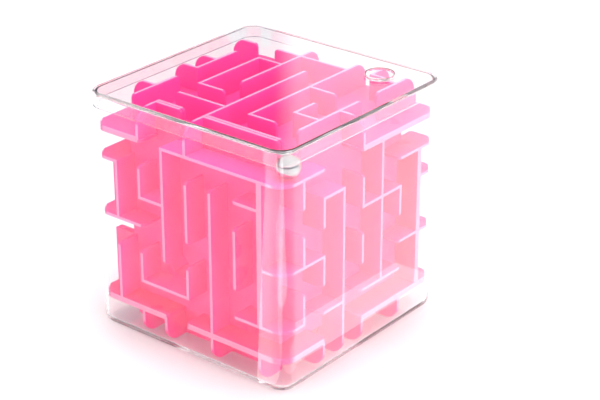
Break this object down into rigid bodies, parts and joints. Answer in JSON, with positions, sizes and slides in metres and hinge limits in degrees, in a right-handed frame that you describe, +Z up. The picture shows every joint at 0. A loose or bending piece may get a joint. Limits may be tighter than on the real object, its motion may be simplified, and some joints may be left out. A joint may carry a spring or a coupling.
{
  "type": "tilt maze game",
  "caption": "Cube tilt maze in a clear lidded box: a steel ball rolls through corridors on all faces of a pink translucent maze cube.",
  "frame": {"origin": "middle of the flat underside of the box, on the table", "axes": "+Z up towards the lid; +X towards the face with the ball shelf opening on its near corner; -Y towards the front face"},
  "size_m": [0.0828, 0.0828, 0.0847],
  "materials": {
    "clear_plastic": "clear gloss",
    "pink_plastic": "translucent gloss",
    "polished_steel": "polished"
  },
  "bodies": {
    "case": {"case_body": "clear_plastic"},
    "maze_cube": {"maze_top_face": "pink_plastic", "maze_bottom_face": "pink_plastic", "maze_front_face": "pink_plastic", "maze_right_face": "pink_plastic", "maze_back_face": "pink_plastic", "maze_left_face": "pink_plastic"},
    "lid": {"case_lid": "clear_plastic"},
    "port_plug": {"lid_port_plug": "clear_plastic"},
    "ball": {"steel_ball": "polished_steel"}
  },
  "joints": [
    {"name": "maze_lift", "type": "slide", "parent": "case", "child": "maze_cube", "axis": [0, 0, 1], "range_m": [0, 0.085]},
    {"name": "lid_lift", "type": "slide", "parent": "maze_cube", "child": "lid", "axis": [0, 0, 1], "range_m": [0, 0.03]},
    {"name": "plug_pull", "type": "slide", "parent": "lid", "child": "port_plug", "axis": [0, 0, 1], "range_m": [0, 0.01]},
    {"name": "ball_roll", "type": "slide", "parent": "maze_cube", "child": "ball", "axis": [0, 1, 0], "range_m": [0, 0.011]}
  ]
}
